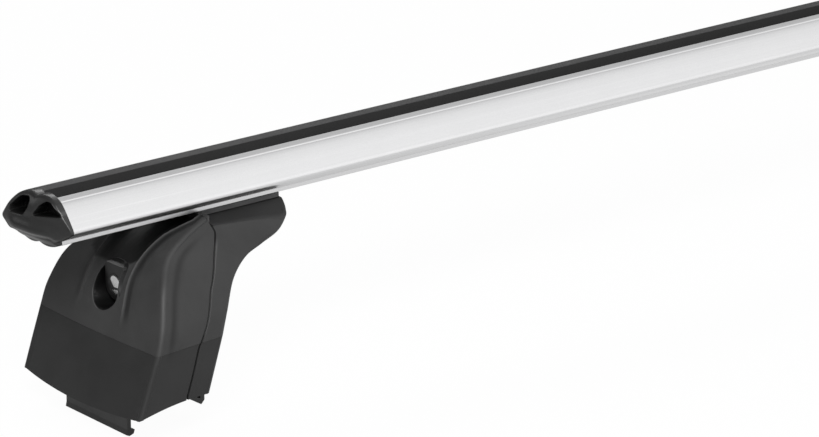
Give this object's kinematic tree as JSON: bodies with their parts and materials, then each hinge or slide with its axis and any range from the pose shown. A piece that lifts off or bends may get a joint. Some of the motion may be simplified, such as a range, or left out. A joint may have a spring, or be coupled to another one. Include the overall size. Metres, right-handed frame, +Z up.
{
  "type": "roof rack crossbar",
  "caption": "Aero section aluminium crossbar with a rubber top strip, push-fit end caps and lockable clamp feet for raised roof rails.",
  "frame": {"origin": "on the ground under the middle of the bar, at the level of the outer jaws' lower edges", "axes": "+X along the bar, +Y across it, +Z up"},
  "size_m": [1.2248, 0.114, 0.141],
  "materials": {
    "bar": "satin anodised",
    "rubber": "matt",
    "cap": "semi gloss",
    "shell": "fine grain",
    "steel": "zinc plated",
    "jaw": "black coated",
    "lock_body": "matt",
    "lock_metal": "polished"
  },
  "bodies": {
    "bar": {"bar_profile": "bar", "top_strip": "rubber", "left_end_cap": "cap", "right_end_cap": "cap"},
    "left_foot": {"left_inner_housing": "shell", "left_steel_frame": "steel", "left_saddle": "rubber", "left_slot_nuts": "steel", "left_saddle_screws": "steel", "left_rail_pad": "rubber", "left_inner_hook": "jaw", "left_hook_liner": "rubber", "left_hook_screws": "steel", "left_clamp_nut": "steel", "left_lock_keeper": "steel", "left_keeper_rivets": "steel"},
    "left_jaw": {"left_outer_jaw": "jaw", "left_jaw_liner": "rubber"},
    "left_bolt": {"left_clamp_bolt": "steel", "left_washer": "steel"},
    "left_cover": {"left_cover": "shell", "left_lock_housing": "lock_body"},
    "left_lock": {"left_lock_plug": "lock_metal", "left_lock_cam": "steel", "left_cam_screw": "steel"},
    "right_foot": {"right_inner_housing": "shell", "right_steel_frame": "steel", "right_saddle": "rubber", "right_slot_nuts": "steel", "right_saddle_screws": "steel", "right_rail_pad": "rubber", "right_inner_hook": "jaw", "right_hook_liner": "rubber", "right_hook_screws": "steel", "right_clamp_nut": "steel", "right_lock_keeper": "steel", "right_keeper_rivets": "steel"},
    "right_jaw": {"right_outer_jaw": "jaw", "right_jaw_liner": "rubber"},
    "right_bolt": {"right_clamp_bolt": "steel", "right_washer": "steel"},
    "right_cover": {"right_cover": "shell", "right_lock_housing": "lock_body"},
    "right_lock": {"right_lock_plug": "lock_metal", "right_lock_cam": "steel", "right_cam_screw": "steel"}
  },
  "joints": [
    {"name": "left_foot_slide", "type": "slide", "parent": "bar", "child": "left_foot", "axis": [1, 0, 0], "range_m": [0, 0.12]},
    {"name": "left_jaw_slide", "type": "slide", "parent": "left_foot", "child": "left_jaw", "axis": [1, 0, 0], "range_m": [0, 0.01]},
    {"name": "left_bolt_turn", "type": "hinge", "parent": "left_jaw", "child": "left_bolt", "pos_m": [-0.5497, 0, 0.0479], "axis": [1, 0, 0], "range_deg": [0, 2880]},
    {"name": "left_cover_pull", "type": "slide", "parent": "left_foot", "child": "left_cover", "axis": [-1, 0, 0], "range_m": [0, 0.11]},
    {"name": "left_lock_turn", "type": "hinge", "parent": "left_cover", "child": "left_lock", "pos_m": [-0.5497, 0, 0.078], "axis": [1, 0, 0], "range_deg": [0, 90]},
    {"name": "right_foot_slide", "type": "slide", "parent": "bar", "child": "right_foot", "axis": [-1, 0, 0], "range_m": [0, 0.12]},
    {"name": "right_jaw_slide", "type": "slide", "parent": "right_foot", "child": "right_jaw", "axis": [-1, 0, 0], "range_m": [0, 0.01]},
    {"name": "right_bolt_turn", "type": "hinge", "parent": "right_jaw", "child": "right_bolt", "pos_m": [0.5497, 0, 0.0479], "axis": [-1, 0, 0], "range_deg": [0, 2880]},
    {"name": "right_cover_pull", "type": "slide", "parent": "right_foot", "child": "right_cover", "axis": [1, 0, 0], "range_m": [0, 0.11]},
    {"name": "right_lock_turn", "type": "hinge", "parent": "right_cover", "child": "right_lock", "pos_m": [0.5497, 0, 0.078], "axis": [-1, 0, 0], "range_deg": [0, 90]}
  ],
  "couplings": [
    {"joint": "left_bolt_turn", "follows": "left_jaw_slide", "rad_per_m": 5026.5},
    {"joint": "right_bolt_turn", "follows": "right_jaw_slide", "rad_per_m": 5026.5}
  ]
}
